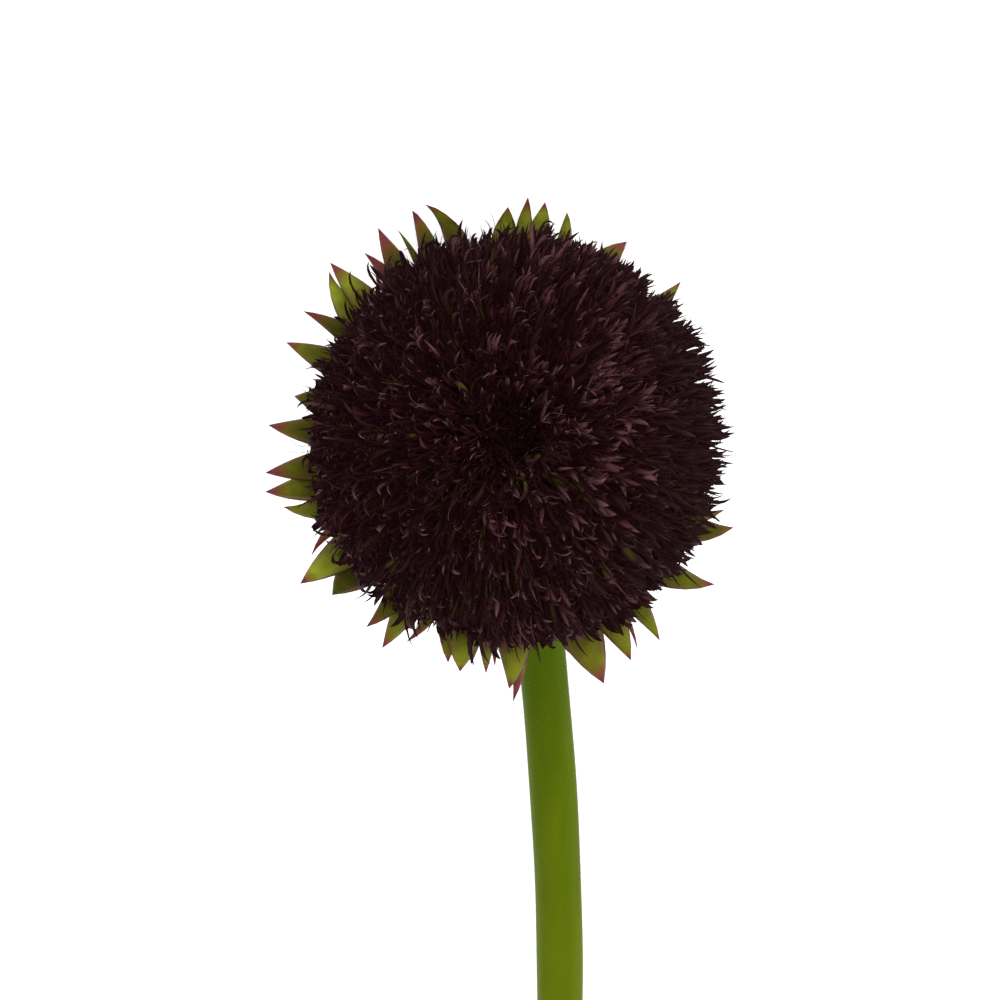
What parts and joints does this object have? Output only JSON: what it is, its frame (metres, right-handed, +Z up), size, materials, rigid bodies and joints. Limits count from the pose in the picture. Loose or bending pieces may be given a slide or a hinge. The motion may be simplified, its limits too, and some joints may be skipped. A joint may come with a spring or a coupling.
{
  "type": "cut pompon gerbera flower",
  "caption": "Cut pompon gerbera that lies on a surface: thick bowed stem, cup of pointed green bracts and a dome of narrow dark burgundy florets.",
  "frame": {"origin": "on the surface that the flower lies on, under the centre of its bounding box", "axes": "+Z up; +Y along the lying stem from its cut end towards the head; +X to the side"},
  "size_m": [0.0867, 0.3004, 0.0671],
  "materials": {
    "stem_green": "fresh green stem, finely downy, satin",
    "bract_green": "fresh yellow-green bracts with dull red tips, satin",
    "burgundy": "very dark burgundy petals with a soft pinkish sheen",
    "dark_centre": "nearly black unopened florets, matte"
  },
  "bodies": {
    "root": {"stem": "stem_green", "involucre": "bract_green", "florets": "burgundy", "centre_florets": "dark_centre"}
  },
  "joints": []
}
